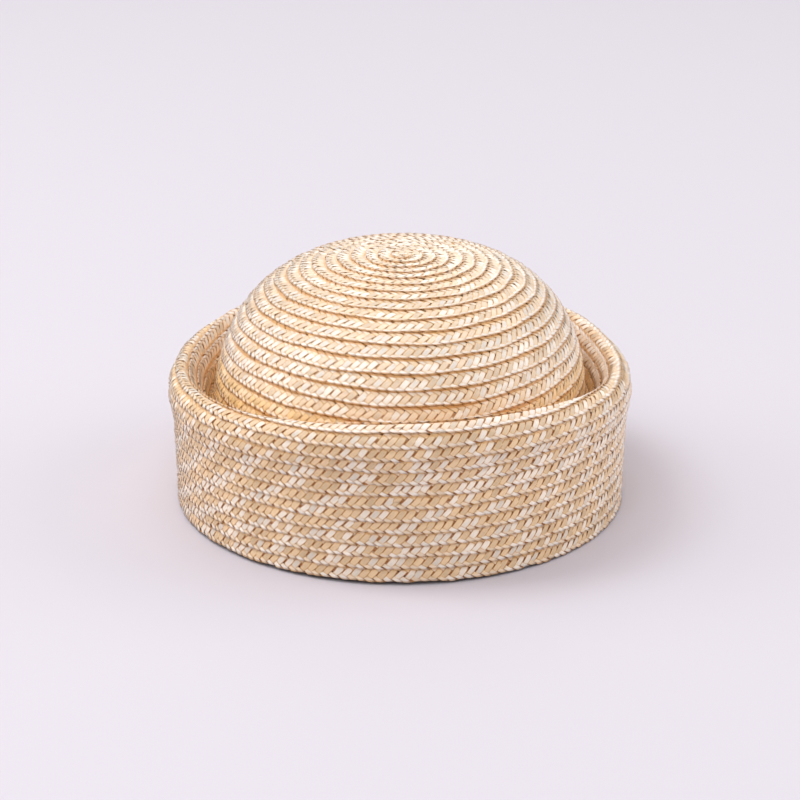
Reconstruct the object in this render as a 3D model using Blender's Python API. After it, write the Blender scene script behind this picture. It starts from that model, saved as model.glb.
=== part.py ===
"""A small brimless hat, sewn from one long plait of split straw.

The crown is a dome with a groove round its foot, and its last row of plait laps over the rim.
The side band hangs from that lap, twelve rows high, and stands on its free edge.
Both walls are stepped like weatherboards, because each row of plait stands proud over the next.
Metres, +Z up, the front towards -Y, the origin on the ground under the middle of the hat.
"""

import math

import bpy
import numpy as np

MM = 0.001

# Plan: every level is an oval, longer from front to back than from side to side
DOME_RADIUS = 71.0 * MM
OVAL_EXTRA = 15.4 * MM

# Dome: a superellipse from its top down to the groove, leaning a little to the right
DOME_BASE_HEIGHT = 30.2 * MM
DOME_RISE = 63.6 * MM
DOME_ROUND_SIDE = 2.85
DOME_ROUND_TOP = 2.46
DOME_FOOT_ABOVE_GROOVE = 4.2 * MM
DOME_LEAN = 1.5 * MM
DOME_POINTS = 22

# Groove, rim and side band at the left side, from the groove outwards and down to the ground.
# The radius is the half width. Follow is how far a place rises with the rim's lift.
SECTION_COLUMNS = ("place", "radius", "height", "follow")
SECTION = (
    ("groove", 72.5, 38.3, 0.8),
    ("flank", 75.3, 43.0, 0.9),
    ("inner_rim", 78.7, 48.4, 1.0),
    ("crest", 83.2, 52.0, 1.0),
    ("outer_rim", 87.0, 48.6, 1.0),
    ("bulge", 87.9, 42.0, 0.95),
    ("under_bulge", 86.3, 33.5, 0.8),
    ("wall", 85.5, 16.0, 0.4),
    ("free_edge", 85.0, 0.0, 0.0),
)

# Lift of the rim, at eight equal steps round the hat from the right by the back
LIFT_COLUMNS = ("place", "lift")
RIM_LIFT = (
    ("right", 0.5),
    ("back_right", 3.2),
    ("back", 5.2),
    ("back_left", 2.6),
    ("left", 0.0),
    ("front_left", 3.2),
    ("front", 8.2),
    ("front_right", 6.2),
)
STEPS_PER_SPAN = 8

# Plait rows
DOME_ROWS = 19
FLANK_ROWS = 4
BAND_ROWS = 12
BAND_PITCH = 4.75 * MM

# Offsets from the middle surface, outwards
TUCKED = 0.2 * MM
PROUD = 1.1 * MM
INSIDE = -1.3 * MM
STEP_RUN = 0.25 * MM

# Lap of the crown's last row over the band's first
LAP_LENGTH = 3.8 * MM
LAP_UNDER_EDGE = 0.0
LAP_UNDER_ROOT = -0.8 * MM
LAP_GAP = 0.3 * MM
TONGUE_THICKNESS = 1.0 * MM
ROOT_RAMP = 1.2 * MM

SEGMENTS = 56
TANGENT_REACH = 0.4 * MM
CREASE_ANGLE = math.radians(40)

STRAW_COLOUR = (0.79, 0.62, 0.41, 1.0)
STRAW_ROUGHNESS = 0.45


def clear_scene():
    """Remove whatever objects the file holds."""
    for item in list(bpy.data.objects):
        bpy.data.objects.remove(item, do_unlink=True)


def rim_lift(angle):
    """Lift at an angle: the smoothest wave through the table's eight values."""
    values = np.array([dict(zip(LIFT_COLUMNS, row))["lift"] for row in RIM_LIFT])
    places = 2 * math.pi * np.arange(len(values)) / len(values)
    total = values.mean()
    for wave in range(1, len(values) // 2 + 1):
        share = 1 if wave == len(values) // 2 else 2
        total += share * np.mean(values * np.cos(wave * (places - angle)))
    return total


def section_keys(angle):
    """Radius and height of the section table's points at one angle round the hat."""
    lift = rim_lift(angle)
    points = [dict(zip(SECTION_COLUMNS, row)) for row in SECTION]
    radii = [point["radius"] * MM for point in points]
    heights = [(point["height"] + point["follow"] * lift) * MM for point in points]
    return radii, heights


def dome_keys(foot_height):
    """Points down the dome's superellipse, from its top to the given height."""
    share = (foot_height - DOME_BASE_HEIGHT) / DOME_RISE
    last = math.acos(share ** (DOME_ROUND_TOP / 2))
    turn = np.linspace(0.0, last, DOME_POINTS)
    radius = DOME_RADIUS * np.sin(turn) ** (2 / DOME_ROUND_SIDE)
    height = DOME_BASE_HEIGHT + DOME_RISE * np.cos(turn) ** (2 / DOME_ROUND_TOP)
    return list(radius), list(height)


def smooth_through(values):
    """Catmull-Rom curve through the values, with the same steps in every span."""
    padded = np.concatenate([[2 * values[0] - values[1]], values, [2 * values[-1] - values[-2]]])
    before, start, end, after = padded[:-3], padded[1:-2], padded[2:-1], padded[3:]
    t = np.linspace(0.0, 1.0, STEPS_PER_SPAN, endpoint=False)[None, :]
    before, start, end, after = (v[:, None] for v in (before, start, end, after))
    curve = 0.5 * (2 * start + (end - before) * t
                   + (2 * before - 5 * start + 4 * end - after) * t ** 2
                   + (3 * start - before - 3 * end + after) * t ** 3)
    return np.append(curve.ravel(), values[-1])


def oval_depth(radius):
    """Half depth of the oval whose half width is the radius."""
    return radius + OVAL_EXTRA * np.minimum(radius / DOME_RADIUS, 1.0)


class Meridian:
    """The middle surface's section at one angle, read by the distance along it."""

    def __init__(self, angle):
        radii, heights = section_keys(angle)
        dome_radii, dome_heights = dome_keys(heights[0] + DOME_FOOT_ABOVE_GROOVE)
        rise = (np.array(dome_heights) - dome_heights[-1]) / (dome_heights[0] - dome_heights[-1])
        lean = smooth_through(np.concatenate([DOME_LEAN * rise, np.zeros(len(radii))]))
        radius = smooth_through(np.array(dome_radii + radii))
        self.z = smooth_through(np.array(dome_heights + heights))
        self.x = radius * math.cos(angle) + lean
        self.y = oval_depth(radius) * math.sin(angle)
        steps = np.sqrt(np.diff(self.x) ** 2 + np.diff(self.y) ** 2 + np.diff(self.z) ** 2)
        self.along = np.concatenate([[0.0], np.cumsum(steps)])
        self.length = self.along[-1]
        self.groove = self.along[DOME_POINTS * STEPS_PER_SPAN]
        self.lap = self.length - BAND_ROWS * BAND_PITCH

    def place(self, distance):
        """Position, and direction down the section, at a distance from the top of the dome."""
        stops = (distance, distance - TANGENT_REACH, distance + TANGENT_REACH)
        point, behind, ahead = np.transpose(
            [np.interp(stops, self.along, values) for values in (self.x, self.y, self.z)])
        return point, ahead - behind


def stepped_rows(start, end, rows):
    """Outer face of some rows: each rises from tucked to proud, then steps back."""
    pitch = (end - start) / rows
    stops = []
    for row in range(rows):
        first = start + row * pitch
        stops.append((first + STEP_RUN, TUCKED))
        stops.append((first + pitch, PROUD))
    return stops


def lap_face(lap, root):
    """Underside of the lap, from its edge back to its root."""
    slope = (LAP_UNDER_EDGE - LAP_UNDER_ROOT) / LAP_LENGTH
    stops = (lap, lap - LAP_LENGTH / 2, root)
    return [(distance, LAP_UNDER_EDGE + slope * (distance - lap)) for distance in stops]


def crown_stops(meridian):
    """Section of the crown from the top of the dome to the lap, outside then inside."""
    top = meridian.groove / DOME_ROWS
    lap = meridian.lap
    root = lap - LAP_LENGTH
    outer = stepped_rows(top, meridian.groove, DOME_ROWS - 1)
    outer += stepped_rows(meridian.groove, lap, FLANK_ROWS)
    inner = lap_face(lap, root) + [(root - ROOT_RAMP, INSIDE)]
    flank = np.linspace(root - ROOT_RAMP, meridian.groove, FLANK_ROWS + 1)[1:]
    dome = np.linspace(meridian.groove, top, DOME_ROWS // 2 + 2)[1:]
    inner += [(distance, INSIDE) for distance in flank]
    inner += [(distance, INSIDE) for distance in dome]
    return outer, inner


def band_stops(meridian):
    """Section of the side band: the tongue under the lap, the rows, and the flat free edge."""
    lap = meridian.lap
    root = lap - LAP_LENGTH + LAP_GAP
    tongue = [(distance, offset - LAP_GAP) for distance, offset in reversed(lap_face(lap, root))]
    rows = stepped_rows(lap, meridian.length, BAND_ROWS)[1:]
    inner = [(distance, INSIDE)
             for distance in np.linspace(meridian.length, lap, BAND_ROWS + 1)]
    inner.append((lap - LAP_LENGTH / 2, INSIDE + LAP_UNDER_ROOT / 2))
    inner.append((root, LAP_UNDER_ROOT - LAP_GAP - TONGUE_THICKNESS))
    return tongue + rows, inner


def ring_points(sections, angles):
    """Grid of points, one column for each angle, pushed out from the middle surface."""
    places = np.empty((len(sections[0]), len(angles), 3))
    along = np.empty_like(places)
    offsets = np.array([stop[1] for stop in sections[0]])
    for column, stops in enumerate(sections):
        meridian = Meridian(angles[column])
        for row, (distance, _) in enumerate(stops):
            places[row, column], along[row, column] = meridian.place(distance)
    around = np.roll(places, -1, axis=1) - np.roll(places, 1, axis=1)
    normal = np.cross(along, around)
    normal /= np.linalg.norm(normal, axis=2, keepdims=True)
    return places + normal * offsets[:, None, None]


def straw_material(name):
    """Pale varnished straw."""
    material = bpy.data.materials.new(name)
    material.use_nodes = True
    shader = material.node_tree.nodes["Principled BSDF"]
    shader.inputs["Base Color"].default_value = STRAW_COLOUR
    shader.inputs["Roughness"].default_value = STRAW_ROUGHNESS
    return material


def add_object(name, points, faces):
    """An object with smooth straw walls and crisp row steps."""
    mesh = bpy.data.meshes.new(name)
    mesh.from_pydata([tuple(p) for p in points], [], faces)
    mesh.validate()
    mesh.update()
    mesh.shade_smooth()
    mesh.set_sharp_from_angle(angle=CREASE_ANGLE)
    mesh.materials.append(straw_material(name + "_straw"))
    item = bpy.data.objects.new(name, mesh)
    bpy.context.collection.objects.link(item)
    return item


def ring_faces(first, second, count, outside):
    """Triangles between two rings, cut along the same diagonals on a wall's two sides."""
    faces = []
    for i in range(count):
        j = (i + 1) % count
        a, b, c, d = first + i, second + i, second + j, first + j
        if outside:
            faces += [(a, b, c), (a, c, d)]
        else:
            faces += [(a, b, d), (b, c, d)]
    return faces


def make_crown(angles):
    """Domed tip, groove and flank, closed over the top outside and inside."""
    sections = [crown_stops(Meridian(angle)) for angle in angles]
    rings = ring_points([outer + inner for outer, inner in sections], angles)
    count = len(angles)
    faces = []
    for row in range(len(rings) - 1):
        outside = row < len(sections[0][0]) - 1
        faces += ring_faces(row * count, (row + 1) * count, count, outside)
    top = DOME_BASE_HEIGHT + DOME_RISE
    poles = [(DOME_LEAN, 0.0, top + PROUD), (DOME_LEAN, 0.0, top + INSIDE)]
    outer_pole = rings.shape[0] * count
    last = (rings.shape[0] - 1) * count
    for i in range(count):
        j = (i + 1) % count
        faces.append((outer_pole, i, j))
        faces.append((last + i, outer_pole + 1, last + j))
    points = list(rings.reshape(-1, 3)) + poles
    return add_object("crown", points, faces)


def make_side_band(angles):
    """Upright wall from under the lap down to the flat free edge it rests on."""
    sections = [band_stops(Meridian(angle)) for angle in angles]
    rings = ring_points([outer + inner for outer, inner in sections], angles)
    outer_rows = len(sections[0][0])
    rings[outer_rows - 1:outer_rows + 1, :, 2] = 0.0
    count = len(angles)
    rows = rings.shape[0]
    faces = []
    for row in range(rows):
        outside = row < outer_rows - 1
        faces += ring_faces(row * count, (row + 1) % rows * count, count, outside)
    return add_object("side_band", list(rings.reshape(-1, 3)), faces)


def main():
    clear_scene()
    angles = [2 * math.pi * i / SEGMENTS for i in range(SEGMENTS)]
    make_crown(angles)
    make_side_band(angles)


main()
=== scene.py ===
"""A brimless hat of sewn straw plait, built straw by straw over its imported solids.

One long plait of seven split straws winds from the free edge up to the top of the dome, and
each of its rows laps over the next one out. Metres, +Z up, the hat's front towards -Y.
"""

import math

import bpy
import numpy as np
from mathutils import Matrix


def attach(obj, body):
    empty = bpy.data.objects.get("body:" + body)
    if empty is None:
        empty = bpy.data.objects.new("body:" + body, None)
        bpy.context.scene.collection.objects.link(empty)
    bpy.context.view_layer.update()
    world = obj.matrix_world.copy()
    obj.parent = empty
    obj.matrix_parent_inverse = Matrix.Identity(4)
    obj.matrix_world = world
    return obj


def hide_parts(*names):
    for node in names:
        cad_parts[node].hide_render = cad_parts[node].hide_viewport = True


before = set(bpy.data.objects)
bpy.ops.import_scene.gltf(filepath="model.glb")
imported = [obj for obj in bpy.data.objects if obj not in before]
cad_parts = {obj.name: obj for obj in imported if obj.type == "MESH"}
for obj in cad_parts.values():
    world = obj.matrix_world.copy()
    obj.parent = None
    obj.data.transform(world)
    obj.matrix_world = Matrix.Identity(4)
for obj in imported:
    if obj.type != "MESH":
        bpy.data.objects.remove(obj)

bl_info = {
    "name": "Straw plait hat",
    "version": (1, 0, 0),
    "blender": (4, 5, 0),
    "location": "3D View > Sidebar > Straw hat",
    "description": "Builds a brimless hat from one sewn plait of split straw",
    "category": "Add Mesh",
}

MM = 0.001
TURN = 2 * math.pi

# Plan: every level is an oval, longer from front to back than from side to side
DOME_RADIUS = 71.0 * MM
OVAL_EXTRA = 15.4 * MM

# Dome: a superellipse from its top down to the groove, leaning a little to the right
DOME_BASE_HEIGHT = 30.2 * MM
DOME_RISE = 63.6 * MM
DOME_ROUND_SIDE = 2.85
DOME_ROUND_TOP = 2.46
DOME_FOOT_ABOVE_GROOVE = 4.2 * MM
DOME_LEAN = 1.5 * MM
DOME_POINTS = 22

# Groove, rim and side band at the left side, from the groove outwards and down to the ground.
# The radius is the half width. Follow is how far a place rises with the rim's lift.
SECTION_COLUMNS = ("place", "radius", "height", "follow")
SECTION = (
    ("groove", 72.5, 38.3, 0.8),
    ("flank", 75.3, 43.0, 0.9),
    ("inner_rim", 78.7, 48.4, 1.0),
    ("crest", 83.2, 52.0, 1.0),
    ("outer_rim", 87.0, 48.6, 1.0),
    ("bulge", 87.9, 42.0, 0.95),
    ("under_bulge", 86.3, 33.5, 0.8),
    ("wall", 85.5, 16.0, 0.4),
    ("free_edge", 85.0, 0.0, 0.0),
)

# Lift of the rim, at eight equal steps round the hat from the right by the back
LIFT_COLUMNS = ("place", "lift")
RIM_LIFT = (
    ("right", 0.5),
    ("back_right", 3.2),
    ("back", 5.2),
    ("back_left", 2.6),
    ("left", 0.0),
    ("front_left", 3.2),
    ("front", 8.2),
    ("front_right", 6.2),
)

# Rows of the wall's grid, and its columns round the hat
STEPS_PER_SPAN = 8
GRID_STEP = 0.25 * MM
GRID_COLUMNS = 720

# Course of the plait: its tail lies at the back, and rows are counted from the free edge
TAIL_ANGLE = math.radians(90)
TAIL_TURN = 0.12
TAIL_DEPTH = 0.9 * MM
ROWS_IN_ALL = 35.8
COURSE_STEPS_PER_TURN = 720
LAP_ROW = 12.0
GROOVE_ROW = 16.4
TIP_ROW = 24.5

# At the dome's top the plait starts a part of a row out, and is no wider than this share of the
# way that is left to the top
TIP_START = 0.3
TIP_WIDTH = 0.98

# The free edge stays just clear of the ground, and is lifted a little round one angle
EDGE_CLEARANCE = 0.1 * MM
EDGE_LIFT = 0.9 * MM
EDGE_LIFT_ANGLE = math.radians(240)
EDGE_FADE_ROWS = 3.0

# Painted light by row: how much painted sheen whitens the straw, how much painted warm shade tints it,
# how strong the painted shade in its gaps is, how bright the painted highlight on its folds is and
# how strong the painted shade under the laps is
FADE_COLUMNS = ("row", "painted_sheen", "painted_warm_shade", "painted_gap_shade_share", "painted_fold_highlight", "painted_lap_shade")
FADE = (
    (0.0, 0.15, 0.0, 1.0, 0.35, 0.4),
    (10.7, 0.15, 0.0, 1.0, 0.35, 0.4),
    (12.2, 0.55, 0.0, 0.9, 0.6, 0.6),
    (13.4, 0.55, 0.0, 0.9, 0.6, 0.8),
    (14.0, 0.00, 0.9, 0.5, 0.3, 0.9),
    (17.3, 0.00, 0.7, 0.6, 0.4, 0.9),
    (19.0, 0.34, 0.0, 0.8, 0.5, 0.85),
    (24.0, 0.40, 0.0, 0.6, 0.5, 0.7),
    (28.0, 0.40, 0.0, 0.3, 0.45, 0.5),
    (36.0, 0.40, 0.0, 0.15, 0.45, 0.45),
)

# Seven straws: half the plait's repeat holds seven crossings, and each float spans two.
# The way across is part straight line and part cosine.
STRAWS = 7
GOLDEN_STRAWS = 4
RINGS_PER_RUN = 10
ACROSS_CURVE = 0.3

# Each straw is pieced together from splints: their shortest and longest, how far before the tail
# the first one starts, and the share of them that swap golden and pale
SPLINT_LENGTHS = (120 * MM, 320 * MM)
SPLINT_START = 150 * MM
ODD_SPLINTS = 0.08

# Unevenness: knots in each run of a straw's drift along the plait, across it and in from the proud
# edge, knots before the first run, and how far tone and width differ by splint and by float.
# The first float starts a part of a float in.
SEED = 7
DRIFT_ALONG = 1.7
DRIFT_ACROSS = 1.3
DRIFT_IN = 2.0
DRIFT_IN_LIMITS = (-1.0, 2.0)
EARLY_KNOTS = 6
SPARE_FLOATS = 9
FLOAT_START = 0.25
FLOAT_TONE = 0.14
SPLINT_SPREAD = 0.035
FLOAT_SPREAD = 0.025
SPREAD_LIMITS = (0.88, 1.08)

# Shares of its width that a straw loses at its folds, by a steep power, and as it dives
FOLD_NARROWING = 0.15
FOLD_NARROWING_POWER = 8
DIVE_NARROWING = 0.06

# The folds along the proud edge stand up where a straw comes out and sink where it goes in, and
# carry a painted highlight a little way in
FOLD_REACH = 0.7 * MM
FOLD_SINKING = 0.6
FOLD_HIGHLIGHT_PLACE = 1.2 * MM
FOLD_HIGHLIGHT_REACH = 0.6 * MM

# Painted warm shade on the straw close under the next row, by a share of its painted lap shade: where
# this starts and is full, in rows from the proud edge
SHADED_SHARE = 0.25
SHADED_PLACES = (0.8, 0.97)

# Painted shade of the laps, in rows from the proud edge: on the folds, and a painted shadow from
# where the next row covers the straw to where it is out of sight
LAP_SHADE_FOLD = (0.10, 0.22)
LAP_SHADE_COVERED = (0.95, 1.01)
LAP_SHADE_END = (1.15, 1.25)

# Painted warm shade and painted shade in the gaps, along a straw's edges and where it sinks under
# others: where each starts and is full, by the distance from its middle as a share of its width and
# by how far it is sunk, and its largest share of the colour
WARM_SHADE_ACROSS = (0.28, 0.44)
WARM_SHADE_SUNK = (0.2, 0.6)
WARM_SHADE_SHARE = 0.5
GAP_SHADE_ACROSS = (0.38, 0.48)
GAP_SHADE_SUNK = (0.52, 0.92)
GAP_SHADE_SHARE = 0.95

# Ribs are noise drawn out along the straw, scaled along it, across it and from splint to splint.
# Spans of noise are turned into spans of lightness and of roughness.
RIB_SCALES = (90.0, 24.0, 40.0)
RIB_DETAIL = 3.0
RIB_ROUGHNESS = 0.6
RIB_BUMP = 0.35
RIB_HEIGHT = 0.12 * MM
PATCH_SCALE = 55.0
NOISE_SPAN = (0.3, 0.7)
TONE_LIGHT = (0.86, 1.1)
RIB_LIGHT = (-0.14, 0.1)
PATCH_LIGHT = (0.93, 1.05)
ROUGHNESS = (0.2, 0.38)
STRAW_GLOSS = 0.4

# Matt paper floor, mottled a little: scale of the mottle, and the share of the colour it keeps
FLOOR_HALF = 4.0
FLOOR_MOTTLE_SCALE = 0.8
FLOOR_MOTTLE = 0.985
FLOOR_ROUGHNESS = 0.9
FLOOR_GLOSS = 0.1

# Softboxes round the hat, each turned to it, so that the light is even and comes most from the left
SOFTBOX_COLUMNS = ("name", "place", "size", "watts")
SOFTBOXES = (
    ("key", (-1.0, 0.1, 1.9), 0.9, 14.3),
    ("left", (-1.7, 0.2, 0.9), 1.4, 10.8),
    ("right", (1.7, 0.2, 0.8), 1.6, 13.6),
    ("top", (0.0, 0.3, 2.2), 2.0, 7.0),
    ("front", (-0.3, -1.6, 1.5), 1.2, 12.3),
    ("back", (0.0, 1.8, 1.1), 1.5, 5.8),
)


class HatPlaitSettings(bpy.types.PropertyGroup):
    """Sizes of the plait."""

    width: bpy.props.FloatProperty(
        name="Plait width", description="Width of the plait from fold to fold",
        default=9.2 * MM, unit="LENGTH")
    cell: bpy.props.FloatProperty(
        name="Straw spacing", description="Distance between neighbouring straws along the plait",
        default=3.3 * MM, unit="LENGTH")
    straw: bpy.props.FloatProperty(
        name="Straw width", description="Width of one straw, measured along the plait",
        default=3.26 * MM, unit="LENGTH")
    thickness: bpy.props.FloatProperty(
        name="Straw thickness", description="Thickness of one straw at its crown",
        default=0.24 * MM, unit="LENGTH")
    relief: bpy.props.FloatProperty(
        name="Relief", description="Rise and fall of a straw from the plait's middle",
        default=0.24 * MM, unit="LENGTH")
    pitch: bpy.props.FloatProperty(
        name="Row pitch", description="Height of the visible part of a row on the side band",
        default=4.75 * MM, unit="LENGTH")
    lap_rise: bpy.props.FloatProperty(
        name="Lap rise", description="How far a row stands out over the next one",
        default=0.52 * MM, unit="LENGTH")
    proud: bpy.props.FloatProperty(
        name="Proud edge", description="Height of a row's proud edge over the wall's middle",
        default=0.5 * MM, unit="LENGTH")
    ridge: bpy.props.FloatProperty(
        name="Edge ridge", description="Extra height of the folds along the proud edge",
        default=0.3 * MM, unit="LENGTH")
    lean: bpy.props.FloatProperty(
        name="Lean", description="How far the sewing pulls the inner edge back, as a share of the width",
        default=0.3)
    wobble: bpy.props.FloatProperty(
        name="Wobble", description="Unevenness of the hand-sewn rows",
        default=0.3 * MM, unit="LENGTH")
    stray: bpy.props.FloatProperty(
        name="Stray", description="How far single straws lie off their even places",
        default=0.34 * MM, unit="LENGTH")


class HatColourSettings(bpy.types.PropertyGroup):
    """Colours of the straw, and of the painted sheen, warm shade and shade laid on it."""

    golden: bpy.props.FloatVectorProperty(
        name="Golden straw", description="Colour of the four golden straws",
        default=(0.80, 0.535, 0.27), size=3, min=0.0, max=1.0, subtype="COLOR")
    pale: bpy.props.FloatVectorProperty(
        name="Pale straw", description="Colour of the three bleached straws",
        default=(0.89, 0.77, 0.635), size=3, min=0.0, max=1.0, subtype="COLOR")
    # Painted sheen and painted highlight: the white mixed in on the upper rows and along the folds
    painted_sheen: bpy.props.FloatVectorProperty(
        name="Bleached straw", description="Colour of the whitest straw, as at the folds",
        default=(0.93, 0.885, 0.875), size=3, min=0.0, max=1.0, subtype="COLOR")
    # Painted warm shade: the orange mixed in in the groove, under the laps and between the straws
    painted_warm_shade: bpy.props.FloatVectorProperty(
        name="Fresh straw", description="Colour of the straw that the sun doesn't reach",
        default=(1.0, 0.66, 0.29), size=3, min=0.0, max=1.0, subtype="COLOR")
    # Painted shade: the dark mixed in along the straws' edges and where they sink, for the gaps between
    # them
    edge: bpy.props.FloatVectorProperty(
        name="Straw edge", description="Colour of a straw's cut edges",
        default=(0.36, 0.105, 0.012), size=3, min=0.0, max=1.0, subtype="COLOR")
    # Painted shade under the laps and on the folds
    painted_lap_shade: bpy.props.FloatVectorProperty(
        name="Brown laps", description="Colour of the folds' undersides and of the covered straw",
        default=(0.70, 0.34, 0.09), size=3, min=0.0, max=1.0, subtype="COLOR")


class HatStudioSettings(bpy.types.PropertyGroup):
    """Floor, light and camera."""

    floor: bpy.props.FloatVectorProperty(
        name="Floor", description="Colour of the pale floor",
        default=(0.655, 0.615, 0.675), size=3, min=0.0, max=1.0, subtype="COLOR")
    distance: bpy.props.FloatProperty(
        name="Camera distance", description="Distance from the camera to its target",
        default=1.1935, unit="LENGTH")
    elevation: bpy.props.FloatProperty(
        name="Camera elevation", description="How far the camera looks down on the hat",
        default=math.radians(18.5), subtype="ANGLE")
    target: bpy.props.FloatProperty(
        name="Target height", description="Height that the camera looks at, over the ground",
        default=0.0362, unit="LENGTH")
    lens: bpy.props.FloatProperty(
        name="Lens", description="Focal length in millimetres on a 36 mm sensor",
        default=139.5)
    light: bpy.props.FloatProperty(
        name="Softboxes", description="Power of all the softboxes, as a share of their own",
        default=1.0, min=0.0)
    sky: bpy.props.FloatProperty(
        name="Room light", description="Strength of the even light from all round",
        default=0.49)


def rim_lift(angles):
    """Lift at some angles: the smoothest wave through the lift table's eight values."""
    values = np.array([dict(zip(LIFT_COLUMNS, row))["lift"] for row in RIM_LIFT])
    places = TURN * np.arange(len(values)) / len(values)
    total = np.full_like(angles, values.mean())
    for wave in range(1, len(values) // 2 + 1):
        share = 1 if wave == len(values) // 2 else 2
        total += share * np.mean(values * np.cos(wave * (places - angles[:, None])), axis=1)
    return total


def smooth_through(values):
    """Catmull-Rom curves along the rows of a table, with the same steps in every span."""
    first = 2 * values[:, :1] - values[:, 1:2]
    last = 2 * values[:, -1:] - values[:, -2:-1]
    padded = np.concatenate([first, values, last], axis=1)
    before, start, end, after = (
        padded[:, i:padded.shape[1] - 3 + i, None] for i in range(4))
    t = np.linspace(0.0, 1.0, STEPS_PER_SPAN, endpoint=False)
    curve = 0.5 * (2 * start + (end - before) * t
                   + (2 * before - 5 * start + 4 * end - after) * t ** 2
                   + (3 * start - before - 3 * end + after) * t ** 3)
    return np.concatenate([curve.reshape(len(values), -1), values[:, -1:]], axis=1)


class Wall:
    """Middle surface of the straw wall.

    Its section at each angle is the dome's superellipse, radius = R sin(t)^(2/n) and height
    = base + rise cos(t)^(2/m), joined by a smooth curve to the section table's points. In plan
    a radius r is the oval (r cos a, (r + extra) sin a). The grid holds it by angle and by the
    distance up the section from the free edge.
    """

    def __init__(self):
        angles = TURN * np.arange(GRID_COLUMNS) / GRID_COLUMNS
        x, y, z = self.sections(angles)
        steps = np.sqrt(np.diff(x) ** 2 + np.diff(y) ** 2 + np.diff(z) ** 2)
        along = np.concatenate([np.zeros((len(x), 1)), np.cumsum(steps, axis=1)], axis=1)
        self.length = along[:, -1]
        self.groove = along[:, DOME_POINTS * STEPS_PER_SPAN]
        rows = int(self.length.max() / GRID_STEP) + 2
        distances = GRID_STEP * np.arange(rows)
        points = np.empty((rows, GRID_COLUMNS, 3))
        for column in range(GRID_COLUMNS):
            stops = self.length[column] - distances
            for axis, values in enumerate((x, y, z)):
                points[:, column, axis] = np.interp(stops, along[column], values[column])
        up = np.gradient(points, axis=0)
        around = np.roll(points, -1, axis=1) - np.roll(points, 1, axis=1)
        normals = np.cross(around, up)
        size = np.linalg.norm(normals, axis=2, keepdims=True)
        flat = size < 1e-12
        normals = np.where(flat, (0.0, 0.0, 1.0), normals / np.where(flat, 1.0, size))
        self.grid = np.concatenate([points, normals], axis=2)

    @staticmethod
    def sections(angles):
        """Coordinates of the section curves, one row for each angle."""
        table = [dict(zip(SECTION_COLUMNS, row)) for row in SECTION]
        radii = np.array([point["radius"] for point in table]) * MM
        heights = np.array([point["height"] for point in table])
        follow = np.array([point["follow"] for point in table])
        heights = (heights + follow * rim_lift(angles)[:, None]) * MM
        share = (heights[:, :1] + DOME_FOOT_ABOVE_GROOVE - DOME_BASE_HEIGHT) / DOME_RISE
        last = np.arccos(share ** (DOME_ROUND_TOP / 2))
        turn = last * np.linspace(0.0, 1.0, DOME_POINTS)
        dome_radii = DOME_RADIUS * np.sin(turn) ** (2 / DOME_ROUND_SIDE)
        dome_rise = DOME_RISE * np.cos(turn) ** (2 / DOME_ROUND_TOP)
        rise = (dome_rise - dome_rise[:, -1:]) / (dome_rise[:, :1] - dome_rise[:, -1:])
        radii = np.broadcast_to(radii, heights.shape)
        lean = smooth_through(np.concatenate([DOME_LEAN * rise, 0 * radii], axis=1))
        radius = smooth_through(np.concatenate([dome_radii, radii], axis=1))
        z = smooth_through(np.concatenate([DOME_BASE_HEIGHT + dome_rise, heights], axis=1))
        depth = radius + OVAL_EXTRA * np.minimum(radius / DOME_RADIUS, 1.0)
        x = radius * np.cos(angles)[:, None] + lean
        return x, depth * np.sin(angles)[:, None], z

    def at_angle(self, values, angle):
        """A value kept for each column, read at any angle."""
        place = (angle / TURN) % 1.0 * GRID_COLUMNS
        return np.interp(place, np.arange(GRID_COLUMNS + 1), np.append(values, values[0]))

    def place(self, angle, distance, height):
        """Points at an angle, a distance up from the free edge and a height off the wall."""
        column = (angle / TURN) % 1.0 * GRID_COLUMNS
        row = np.clip(distance / GRID_STEP, 0, len(self.grid) - 1.001)
        i, j = np.floor(row).astype(int), np.floor(column).astype(int)
        s, t = (row - i)[..., None], (column - j)[..., None]
        j %= GRID_COLUMNS
        k = (j + 1) % GRID_COLUMNS
        low = self.grid[i, j] * (1 - t) + self.grid[i, k] * t
        high = self.grid[i + 1, j] * (1 - t) + self.grid[i + 1, k] * t
        found = low * (1 - s) + high * s
        return found[..., :3] + found[..., 3:] * height[..., None]


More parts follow.
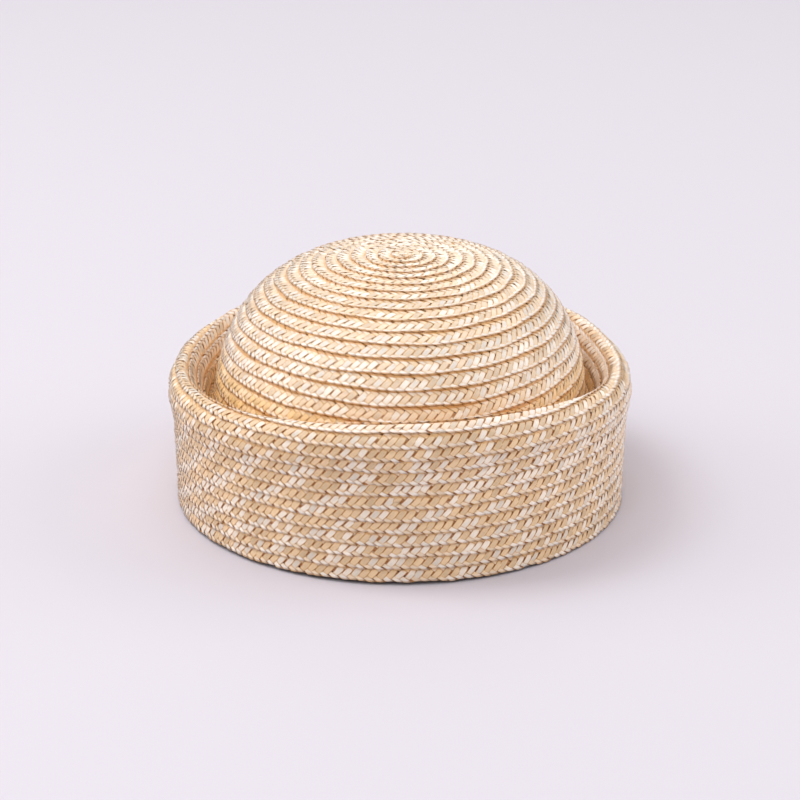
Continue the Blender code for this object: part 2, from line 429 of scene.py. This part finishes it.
class Course:
    """Way of the plait round the wall, read by the length along it.

    The proud edge climbs one row a turn from the free edge, and on the dome the rows left share
    the section evenly. The tail of the first row slips behind the second at the back, so that
    the free edge has no step.
    """

    def __init__(self, wall, plait):
        self.wall = wall
        self.plait = plait
        self.run = STRAWS * plait.cell / 2
        last = ROWS_IN_ALL - TIP_START + 0.5
        turns = np.arange(0.0, last, 1.0 / COURSE_STEPS_PER_TURN)
        angle = TAIL_ANGLE + TURN * turns
        length = wall.at_angle(wall.length, angle)
        groove = wall.at_angle(wall.groove, angle)
        rows = np.maximum(turns - self.edge_rows(turns), 0.0)
        groove_row = (length - groove) / plait.pitch
        on_dome = groove * (ROWS_IN_ALL - rows) / (ROWS_IN_ALL - groove_row)
        on_band = length - plait.pitch * rows
        self.from_top = np.where(rows < groove_row, on_band, on_dome)
        self.from_top += plait.wobble * self.unevenness(turns)
        self.turns = turns
        self.proud = length - self.from_top + EDGE_CLEARANCE + self.edge_lift(angle, turns)
        self.pitch = np.where(rows < groove_row, plait.pitch, groove / (ROWS_IN_ALL - groove_row))
        self.width = np.minimum(plait.width, TIP_WIDTH * self.from_top)
        tail = np.clip(1.0 - turns / TAIL_TURN, 0.0, 1.0)
        self.base = plait.proud - TAIL_DEPTH * tail
        track = np.minimum(0.5 * plait.pitch, 0.5 * self.width)
        line = wall.place(angle, self.proud + track, self.base)
        steps = np.linalg.norm(np.diff(line, axis=0), axis=1)
        self.along = np.concatenate([[0.0], np.cumsum(steps)])

    @staticmethod
    def edge_rows(turns):
        """Row that the free edge cuts at each place, fading to its mean a few rows up."""
        part = turns % 1.0
        x = np.clip(part / TAIL_TURN, 0.0, 1.0)
        slip = 1.0 - (1.0 - TAIL_TURN) * x * x * (3 - 2 * x)
        edge = np.where(part < TAIL_TURN, slip, part)
        keep = np.exp(-np.maximum(turns - 1.0, 0.0) / EDGE_FADE_ROWS)
        return 0.5 + (edge - 0.5) * keep

    @staticmethod
    def edge_lift(angle, turns):
        """Lift of the free edge off the ground: a cosine about its highest place, fading by row."""
        around = np.clip(np.cos(angle - EDGE_LIFT_ANGLE), 0.0, 1.0)
        return EDGE_LIFT * around * np.exp(-np.maximum(turns - 1.0, 0.0) / EDGE_FADE_ROWS)

    @staticmethod
    def unevenness(turns):
        """Sum of waves of several lengths, which repeat in no row."""
        waves = ((2.37, 0.3), (4.19, 1.9), (7.61, 4.0), (12.83, 2.6))
        total = sum(np.sin(TURN * rate * turns + shift) for rate, shift in waves)
        return total * np.clip(turns - 0.5, 0.0, 1.0) / 2

    def at(self, values, along):
        """A value kept along the course, read at any length."""
        return np.interp(along, self.along, values)

    def where(self, row):
        """Length along the plait at which its proud edge passes a row."""
        return np.interp(row + 0.5, self.turns, self.along)

    def ring(self, along):
        """Number of the last ring before a length along the plait."""
        return int(along / self.run * RINGS_PER_RUN)

    def place(self, along, inward, height):
        """Points a length along the plait, a share of its width in from the proud edge."""
        turns = self.at(self.turns, along)
        inset = inward * self.at(self.width, along)
        slope = self.plait.lap_rise / self.at(self.pitch, along)
        base = self.at(self.base, along) - slope * inset
        angle = TAIL_ANGLE + TURN * turns
        distance = self.at(self.proud, along) + inset
        return self.wall.place(angle, distance, base + height)


def across_plait(share):
    """Way of a straw from one fold to the other: part straight line, part cosine."""
    return (1 - ACROSS_CURVE) * share + ACROSS_CURVE * (1 - np.cos(math.pi * share)) / 2


def weave_height(crossing):
    """Rise of a straw at each crossing of its run: over two, under two, without end."""
    return -np.cos(math.pi / 2 * (crossing - 0.5))


def drift(rng, q, knots_per_run, runs):
    """Slow random walk about zero for each straw: values at evenly spaced knots, joined up."""
    knots = rng.normal(0.0, 1.0, (STRAWS, int(runs * knots_per_run) + 2 * EARLY_KNOTS))
    places = np.arange(knots.shape[1]) - EARLY_KNOTS
    return np.array([np.interp(q[m] * knots_per_run, places, knots[m]) for m in range(STRAWS)])


def splints(rng, q, middle, course):
    """Tone, spread and paleness of each straw: drawn for each splint, and a little for each float.

    Spread is the share of its even width that a straw has.
    """
    shortest, longest = SPLINT_LENGTHS
    count = int(course.along[-1] / shortest) + 2
    ends = np.cumsum(rng.uniform(shortest, longest, (STRAWS, count)), axis=1) - SPLINT_START
    splint = np.array([np.searchsorted(ends[m], middle[m]) for m in range(STRAWS)])
    pale = np.arange(STRAWS)[:, None] >= GOLDEN_STRAWS
    pale = pale ^ (rng.uniform(0.0, 1.0, (STRAWS, count)) < ODD_SPLINTS)
    kinds = rng.uniform(0.0, 1.0, (STRAWS, count)), rng.normal(0.0, 1.0, (STRAWS, count)), pale
    tone, breadth, pale = (np.take_along_axis(kind, splint, axis=1) for kind in kinds)
    floats_in_all = int(course.along[-1] / course.run * STRAWS / 2) + SPARE_FLOATS
    floats = rng.normal(0.0, 1.0, (STRAWS, floats_in_all))
    number = np.clip((q * STRAWS / 2 - FLOAT_START).astype(int), 0, floats_in_all - 1)
    each = np.take_along_axis(floats, number, axis=1)
    tone = np.clip(tone + FLOAT_TONE * each, 0.0, 1.0)
    spread = np.clip(1.0 + SPLINT_SPREAD * breadth + FLOAT_SPREAD * each, *SPREAD_LIMITS)
    return tone, spread, pale


def straw_rings(course, first, last, plait):
    """Corner points of the straws' rings between two ring numbers.

    Straw m at ring number i is q = (i + 1/2) / rings runs along, of which the whole part says
    which way it crosses the plait and the rest says how far. Its middle lies at q T + 2 m T / 7
    along the plait, T being the length of a run, less the lean of the place across. Each
    straw's count of rings starts where its middle passes the same length. A ring has its left
    edge, crown, right edge and back. The edges take their height from the crossings that they
    lie at themselves.
    """
    straw = np.arange(STRAWS)[:, None]
    numbers = np.arange(first, last + 1) - np.rint(2 * straw * RINGS_PER_RUN / STRAWS)
    q = (numbers + 0.5) / RINGS_PER_RUN
    share = q % 1.0
    outward = np.floor(q).astype(int) % 2 == 1
    inward = across_plait(np.where(outward, 1 - share, share))
    middle = q * course.run + straw * plait.cell - plait.lean * plait.width * inward

    rng = np.random.default_rng(SEED)
    runs = course.along[-1] / course.run
    stray = plait.stray / plait.width
    middle += plait.stray * drift(rng, q, DRIFT_ALONG, runs)
    inward = inward * (1.0 + stray * drift(rng, q, DRIFT_ACROSS, runs))
    inward += 0.5 * stray * (1.0 + np.clip(drift(rng, q, DRIFT_IN, runs), *DRIFT_IN_LIMITS))
    tone, spread, pale = splints(rng, q, middle, course)

    crossing = STRAWS * share
    crown = weave_height(crossing)
    narrow = 1.0 - FOLD_NARROWING * np.abs(2 * share - 1) ** FOLD_NARROWING_POWER
    pinch = 1.0 - DIVE_NARROWING * (1.0 - crown ** 2)
    half = plait.straw / 2 * narrow * pinch * spread
    reach = half / plait.cell
    left, right = (weave_height(crossing + side * reach) for side in (-1, 1))
    # How far each corner is sunk under the other straws; the material paints shade and warm shade from
    # it
    shown = np.where(outward, 1.0, -1.0) * crown
    sunk = 0.5 - 0.5 * np.stack([left, shown, right, -shown], axis=2)

    left, height, right = plait.relief * left, plait.relief * crown, plait.relief * right
    out = -plait.width * inward
    way = np.stack([np.gradient(out, axis=1), np.gradient(height, axis=1)], axis=2)
    way /= np.linalg.norm(way, axis=2, keepdims=True)
    lift = plait.thickness / 2
    push_in = lift * way[..., 1] / plait.width
    push_up = lift * way[..., 0]
    along = np.stack([middle - half, middle, middle + half, middle], axis=2)
    inwards = np.stack([inward, inward + push_in, inward, inward - push_in], axis=2)
    heights = np.stack([left, height + push_up, right, height - push_up], axis=2)
    fold = np.exp(-(inward * plait.width / FOLD_REACH) ** 2)
    heights += (plait.ridge * fold * np.where(outward, 1.0, -FOLD_SINKING))[..., None]
    along = np.clip(along, 0.0, course.along[-1])
    points = course.place(along, inwards, heights)

    run_path = math.hypot(course.run, plait.width)
    lengthwise = np.broadcast_to((q * run_path)[..., None], along.shape)
    across = np.broadcast_to(np.array([0.0, 0.5, 1.0, 0.5]), along.shape)
    tone, pale = (np.broadcast_to(value[..., None], along.shape) for value in (tone, pale))
    shades = {"tone": tone, "pale": pale, "sunk": sunk}
    shades.update(straw_shades(course, along, inwards, outward))
    return points, lengthwise, across, shades


def straw_shades(course, along, inwards, outward):
    """What the straw's material reads of a corner's place.

    The fade table's columns, all painted light, are read by row. Inset is the distance from the
    proud edge in rows, and outer is 0 on the side of the straw that faces into the hat. Painted warm
    shade starts close to the next row, and the painted highlight lies on the folds by a bell curve
    about its place.
    """
    row = course.at(course.turns, along) - 0.5
    rows, *fades = np.array(FADE).T
    shades = {label: np.interp(row, rows, values)
              for label, values in zip(FADE_COLUMNS[1:], fades)}
    inset = inwards * course.at(course.width, along) / course.at(course.pitch, along)
    outer = np.ones(along.shape)
    outer[..., 1] = outward
    outer[..., 3] = ~outward
    # Painted warm shade on the straw close under the next row
    start, full = SHADED_PLACES
    shaded = np.clip((inset - start) / (full - start), 0.0, 1.0)
    shades["painted_warm_shade"] = np.maximum(shades["painted_warm_shade"], SHADED_SHARE * shades["painted_lap_shade"] * shaded)
    # Painted highlight along the outgoing folds, a little way in
    painted_fold_highlight = np.exp(-((inwards * course.plait.width - FOLD_HIGHLIGHT_PLACE) / FOLD_HIGHLIGHT_REACH) ** 2)
    shades["painted_fold_highlight"] *= np.where(outward[..., None], painted_fold_highlight, 0.0)
    shades["inset"] = inset
    shades["outer"] = outer
    return shades


def tube_faces(straws, rings):
    """Quads round each straw from ring to ring, and a quad over each of its ends."""
    corner = np.arange(4)
    following = (corner + 1) % 4
    start = 4 * (np.arange(straws)[:, None] * rings + np.arange(rings - 1)).reshape(-1, 1)
    sides = np.stack([start + corner, start + 4 + corner, start + 4 + following, start + following],
                     axis=2).reshape(-1, 4)
    first = 4 * rings * np.arange(straws)[:, None]
    ends = np.concatenate([first + corner, first + 4 * (rings - 1) + corner[::-1]])
    return np.concatenate([sides, ends])


def signed_volume(points, faces):
    """Volume inside closed quads: a sixth of the sum of a . (b x c) over their triangles."""
    a, b, c, d = (points[faces[:, i]] for i in range(4))
    total = np.einsum("ij,ij->i", a, np.cross(b, c)) + np.einsum("ij,ij->i", a, np.cross(c, d))
    return total.sum() / 6


def plait_piece(name, course, first, last, plait, material):
    """Mesh object of all seven straws between two ring numbers of the plait."""
    points, lengthwise, across, shades = straw_rings(course, first, last, plait)
    straws, rings = points.shape[:2]
    points = points.reshape(-1, 3)
    faces = tube_faces(straws, rings)
    if signed_volume(points, faces) < 0:
        faces = faces[:, ::-1]
    mesh = bpy.data.meshes.new(name)
    mesh.vertices.add(len(points))
    mesh.vertices.foreach_set("co", points.astype(np.float32).ravel())
    mesh.loops.add(faces.size)
    mesh.loops.foreach_set("vertex_index", faces.astype(np.int32).ravel())
    mesh.polygons.add(len(faces))
    mesh.polygons.foreach_set("loop_start", np.arange(0, faces.size, 4, dtype=np.int32))
    mesh.update(calc_edges=True)
    mesh.validate()
    mesh.shade_smooth()
    mark_straw_edges(mesh)
    uv = np.stack([lengthwise.ravel(), across.ravel()], axis=1)[faces.ravel()]
    mesh.uv_layers.new(name="straw").data.foreach_set("uv", uv.astype(np.float32).ravel())
    for label, values in shades.items():
        attribute = mesh.attributes.new(label, "FLOAT", "POINT")
        attribute.data.foreach_set("value", values.astype(np.float32).ravel())
    mesh.materials.append(material)
    piece = bpy.data.objects.new(name, mesh)
    bpy.context.collection.objects.link(piece)
    return piece


def mark_straw_edges(mesh):
    """Make the two long edges of every straw crisp: their vertices are corners 0 and 2."""
    ends = np.empty(2 * len(mesh.edges), np.int32)
    mesh.edges.foreach_get("vertices", ends)
    corners = ends.reshape(-1, 2) % 4
    sharp = (corners[:, 0] == corners[:, 1]) & (corners[:, 0] % 2 == 0)
    mesh.attributes.new("sharp_edge", "BOOLEAN", "EDGE").data.foreach_set("value", sharp)


class Nodes:
    """Short way to add and link shader nodes."""

    def __init__(self, material):
        material.use_nodes = True
        self.tree = material.node_tree
        self.shader = self.tree.nodes["Principled BSDF"]

    def add(self, kind, inputs=(), **settings):
        """New node with its settings, each input linked to a socket or given a value."""
        node = self.tree.nodes.new(kind)
        for key, value in settings.items():
            setattr(node, key, value)
        for key, value in dict(inputs).items():
            if isinstance(value, bpy.types.NodeSocket):
                self.tree.links.new(value, node.inputs[key])
            else:
                node.inputs[key].default_value = value
        return node

    def attribute(self, name):
        """A number kept on the mesh."""
        return self.add("ShaderNodeAttribute", attribute_name=name).outputs["Fac"]

    def noise(self, place, scale, detail=2.0, roughness=0.5):
        """Smooth noise from 0 to 1 at a place."""
        return self.add("ShaderNodeTexNoise", {
            "Vector": place, "Scale": scale,
            "Detail": detail, "Roughness": roughness}).outputs["Fac"]

    def math(self, operation, first, second=0.0):
        """One operation on two numbers."""
        return self.add("ShaderNodeMath", {0: first, 1: second}, operation=operation).outputs[0]

    def ramp(self, value, low, high, to_low, to_high):
        """A value taken from one span to another and kept inside it."""
        return self.add("ShaderNodeMapRange", {
            "Value": value, "From Min": low, "From Max": high,
            "To Min": to_low, "To Max": to_high}).outputs[0]

    def mix(self, share, first, second, blend="MIX"):
        """Two colours mixed, with a share of the second."""
        node = self.add("ShaderNodeMix", {0: share, 6: first, 7: second},
                        data_type="RGBA", blend_type=blend)
        return node.outputs[2]

    def link(self, output, name):
        """Lead a socket to an input of the shader."""
        self.tree.links.new(output, self.shader.inputs[name])


def rgba(colour):
    """A colour with full opacity."""
    return (*colour, 1.0)


def straw_material(name, colours):
    """Split straw: two colours by strand and fine ribs, with painted light: sheen, warm shade, fold
    highlights, shade in the gaps and under the laps.
    """
    material = bpy.data.materials.new(name)
    nodes = Nodes(material)
    uv = nodes.add("ShaderNodeUVMap", uv_map="straw").outputs[0]
    split = nodes.add("ShaderNodeSeparateXYZ", {0: uv})
    tone = nodes.attribute("tone")
    coordinates = (split.outputs[0], split.outputs[1], tone)
    ribs_at = nodes.add("ShaderNodeCombineXYZ", {
        axis: nodes.math("MULTIPLY", value, scale)
        for axis, (value, scale) in enumerate(zip(coordinates, RIB_SCALES))}).outputs[0]
    ribs = nodes.noise(ribs_at, 1.0, RIB_DETAIL, RIB_ROUGHNESS)
    place = nodes.add("ShaderNodeTexCoord").outputs["Object"]
    patches = nodes.noise(place, PATCH_SCALE)

    colour = nodes.mix(nodes.attribute("pale"), rgba(colours.golden), rgba(colours.pale))
    # Painted sheen: white mixed in by row, most on the rows that face the lights
    colour = nodes.mix(nodes.attribute("painted_sheen"), colour, rgba(colours.painted_sheen))
    # Painted warm shade: orange mixed in by row in the groove, and close under the next row
    colour = nodes.mix(nodes.attribute("painted_warm_shade"), colour, rgba(colours.painted_warm_shade))
    light = nodes.math("ADD", nodes.ramp(tone, 0.0, 1.0, *TONE_LIGHT),
                       nodes.ramp(ribs, *NOISE_SPAN, *RIB_LIGHT))
    light = nodes.math("MULTIPLY", light, nodes.ramp(patches, *NOISE_SPAN, *PATCH_LIGHT))
    bright = nodes.add("ShaderNodeCombineColor", {0: light, 1: light, 2: light}).outputs[0]
    colour = nodes.mix(1.0, colour, bright, "MULTIPLY")

    middle = nodes.math("ABSOLUTE", nodes.math("SUBTRACT", split.outputs[1], 0.5))
    sunk = nodes.attribute("sunk")
    # Painted warm shade along the straw's edges and where it sinks under others
    rim = nodes.math("MAXIMUM", nodes.ramp(middle, *WARM_SHADE_ACROSS, 0.0, WARM_SHADE_SHARE),
                     nodes.ramp(sunk, *WARM_SHADE_SUNK, 0.0, WARM_SHADE_SHARE))
    colour = nodes.mix(rim, colour, rgba(colours.painted_warm_shade))
    # Painted shade in the gaps: dark along the straw's edges and where it sinks under others, by row
    gap_shade = nodes.math("MAXIMUM", nodes.ramp(middle, *GAP_SHADE_ACROSS, 0.0, GAP_SHADE_SHARE),
                      nodes.ramp(sunk, *GAP_SHADE_SUNK, 0.0, GAP_SHADE_SHARE))
    gap_shade = nodes.math("MULTIPLY", gap_shade, nodes.attribute("painted_gap_shade_share"))
    colour = nodes.mix(gap_shade, colour, rgba(colours.edge))
    # Painted highlight along the folds
    colour = nodes.mix(nodes.attribute("painted_fold_highlight"), colour, rgba(colours.painted_sheen))

    # Painted shade under the laps: on the folds and on the straw that the next row covers
    inset = nodes.attribute("inset")
    covered = nodes.math("MULTIPLY", nodes.ramp(inset, *LAP_SHADE_COVERED, 0.0, 1.0),
                         nodes.ramp(inset, *LAP_SHADE_END, 1.0, 0.0))
    lap = nodes.math("MAXIMUM", nodes.math("MULTIPLY", covered, nodes.attribute("outer")),
                     nodes.ramp(inset, *LAP_SHADE_FOLD, 1.0, 0.0))
    lap = nodes.math("MULTIPLY", lap, nodes.attribute("painted_lap_shade"))
    nodes.link(nodes.mix(lap, colour, rgba(colours.painted_lap_shade)), "Base Color")
    nodes.link(nodes.ramp(ribs, *NOISE_SPAN, *ROUGHNESS), "Roughness")
    bump = nodes.add("ShaderNodeBump", {"Height": ribs, "Strength": RIB_BUMP,
                                        "Distance": RIB_HEIGHT})
    nodes.link(bump.outputs[0], "Normal")
    nodes.shader.inputs["Specular IOR Level"].default_value = STRAW_GLOSS
    return material


class HAT_OT_side_band_plait(bpy.types.Operator):
    """Weave the plait of the side band, from the free edge up to the lap"""

    bl_idname = "hat.side_band_plait"
    bl_label = "Side band plait"

    def execute(self, context):
        plait = context.scene.hat_plait
        material = straw_material("band_straw", context.scene.hat_colours)
        course = Course(Wall(), plait)
        stops = [1] + [course.ring(course.where(row)) for row in (LAP_ROW / 2, LAP_ROW)]
        names = ("plait_band_lower", "plait_band_upper")
        for name, first, last in zip(names, stops, stops[1:]):
            piece = plait_piece(name, course, first, last, plait, material)
            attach(piece, "root")
            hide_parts("side_band")
        return {"FINISHED"}


class HAT_OT_crown_plait(bpy.types.Operator):
    """Weave the plait of the crown, over the rim, through the groove and up the dome"""

    bl_idname = "hat.crown_plait"
    bl_label = "Crown plait"

    def execute(self, context):
        plait = context.scene.hat_plait
        material = straw_material("crown_straw", context.scene.hat_colours)
        course = Course(Wall(), plait)
        stops = [course.ring(course.where(row)) for row in (LAP_ROW, GROOVE_ROW, TIP_ROW)]
        stops.append(course.ring(course.along[-1] - plait.cell))
        names = ("plait_rim", "plait_dome", "plait_tip")
        for name, first, last in zip(names, stops, stops[1:]):
            piece = plait_piece(name, course, first, last, plait, material)
            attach(piece, "root")
            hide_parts("crown")
        return {"FINISHED"}


def floor_material(colour):
    """Matt pale paper."""
    material = bpy.data.materials.new("pale_floor")
    nodes = Nodes(material)
    place = nodes.add("ShaderNodeTexCoord").outputs["Object"]
    mottle = nodes.noise(place, FLOOR_MOTTLE_SCALE)
    shade = nodes.mix(mottle, rgba([FLOOR_MOTTLE * part for part in colour]), rgba(colour))
    nodes.link(shade, "Base Color")
    nodes.shader.inputs["Roughness"].default_value = FLOOR_ROUGHNESS
    nodes.shader.inputs["Specular IOR Level"].default_value = FLOOR_GLOSS
    return material


def add_floor(colour):
    """Square floor at the height of the free edge."""
    half = FLOOR_HALF
    mesh = bpy.data.meshes.new("floor")
    corners = [(-half, -half, 0), (half, -half, 0), (half, half, 0), (-half, half, 0)]
    mesh.from_pydata(corners, [], [(0, 1, 2, 3)])
    mesh.materials.append(floor_material(colour))
    floor = bpy.data.objects.new("floor", mesh)
    bpy.context.collection.objects.link(floor)


def add_softbox(name, place, size, power):
    """Square area light at a place, turned to the hat."""
    light = bpy.data.lights.new(name, "AREA")
    light.size = size
    light.energy = power
    lamp = bpy.data.objects.new(name, light)
    bpy.context.collection.objects.link(lamp)
    lamp.location = place
    way = -np.array(place)
    flat = math.hypot(way[0], way[1])
    lamp.rotation_euler = (math.atan2(flat, -way[2]), 0.0, math.atan2(-way[0], way[1]))


class HAT_OT_studio(bpy.types.Operator):
    """Set up the pale floor, the soft light and the camera"""

    bl_idname = "hat.studio"
    bl_label = "Studio"

    def execute(self, context):
        studio = context.scene.hat_studio
        add_floor(studio.floor)
        for row in SOFTBOXES:
            box = dict(zip(SOFTBOX_COLUMNS, row))
            add_softbox(box["name"], box["place"], box["size"], studio.light * box["watts"])
        world = bpy.data.worlds.new("room")
        world.use_nodes = True
        background = world.node_tree.nodes["Background"]
        background.inputs["Color"].default_value = (1.0, 1.0, 1.0, 1.0)
        background.inputs["Strength"].default_value = studio.sky
        context.scene.world = world
        camera = bpy.data.cameras.new("camera")
        camera.lens = studio.lens
        camera.sensor_width = 36.0
        camera.clip_start = 0.01
        viewer = bpy.data.objects.new("camera", camera)
        bpy.context.collection.objects.link(viewer)
        back = studio.distance * math.cos(studio.elevation)
        rise = studio.distance * math.sin(studio.elevation)
        viewer.location = (0.0, -back, studio.target + rise)
        viewer.rotation_euler = (math.pi / 2 - studio.elevation, 0.0, 0.0)
        context.scene.camera = viewer
        context.scene.view_settings.view_transform = "Standard"
        return {"FINISHED"}


class VIEW3D_PT_straw_hat(bpy.types.Panel):
    """Sizes, colours and steps of the straw hat"""

    bl_label = "Straw hat"
    bl_space_type = "VIEW_3D"
    bl_region_type = "UI"
    bl_category = "Straw hat"

    def draw(self, context):
        scene = context.scene
        for settings in (scene.hat_plait, scene.hat_colours, scene.hat_studio):
            for name in settings.__annotations__:
                self.layout.prop(settings, name)
        for step in (HAT_OT_side_band_plait, HAT_OT_crown_plait, HAT_OT_studio):
            self.layout.operator(step.bl_idname)


CLASSES = (HatPlaitSettings, HatColourSettings, HatStudioSettings, HAT_OT_side_band_plait,
           HAT_OT_crown_plait, HAT_OT_studio, VIEW3D_PT_straw_hat)


def register():
    for item in CLASSES:
        bpy.utils.register_class(item)
    bpy.types.Scene.hat_plait = bpy.props.PointerProperty(type=HatPlaitSettings)
    bpy.types.Scene.hat_colours = bpy.props.PointerProperty(type=HatColourSettings)
    bpy.types.Scene.hat_studio = bpy.props.PointerProperty(type=HatStudioSettings)


def unregister():
    del bpy.types.Scene.hat_plait
    del bpy.types.Scene.hat_colours
    del bpy.types.Scene.hat_studio
    for item in reversed(CLASSES):
        bpy.utils.unregister_class(item)


def main():
    register()
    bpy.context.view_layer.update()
    bpy.ops.hat.side_band_plait()
    bpy.ops.hat.crown_plait()
    bpy.ops.hat.studio()


if __name__ == "__main__":
    main()
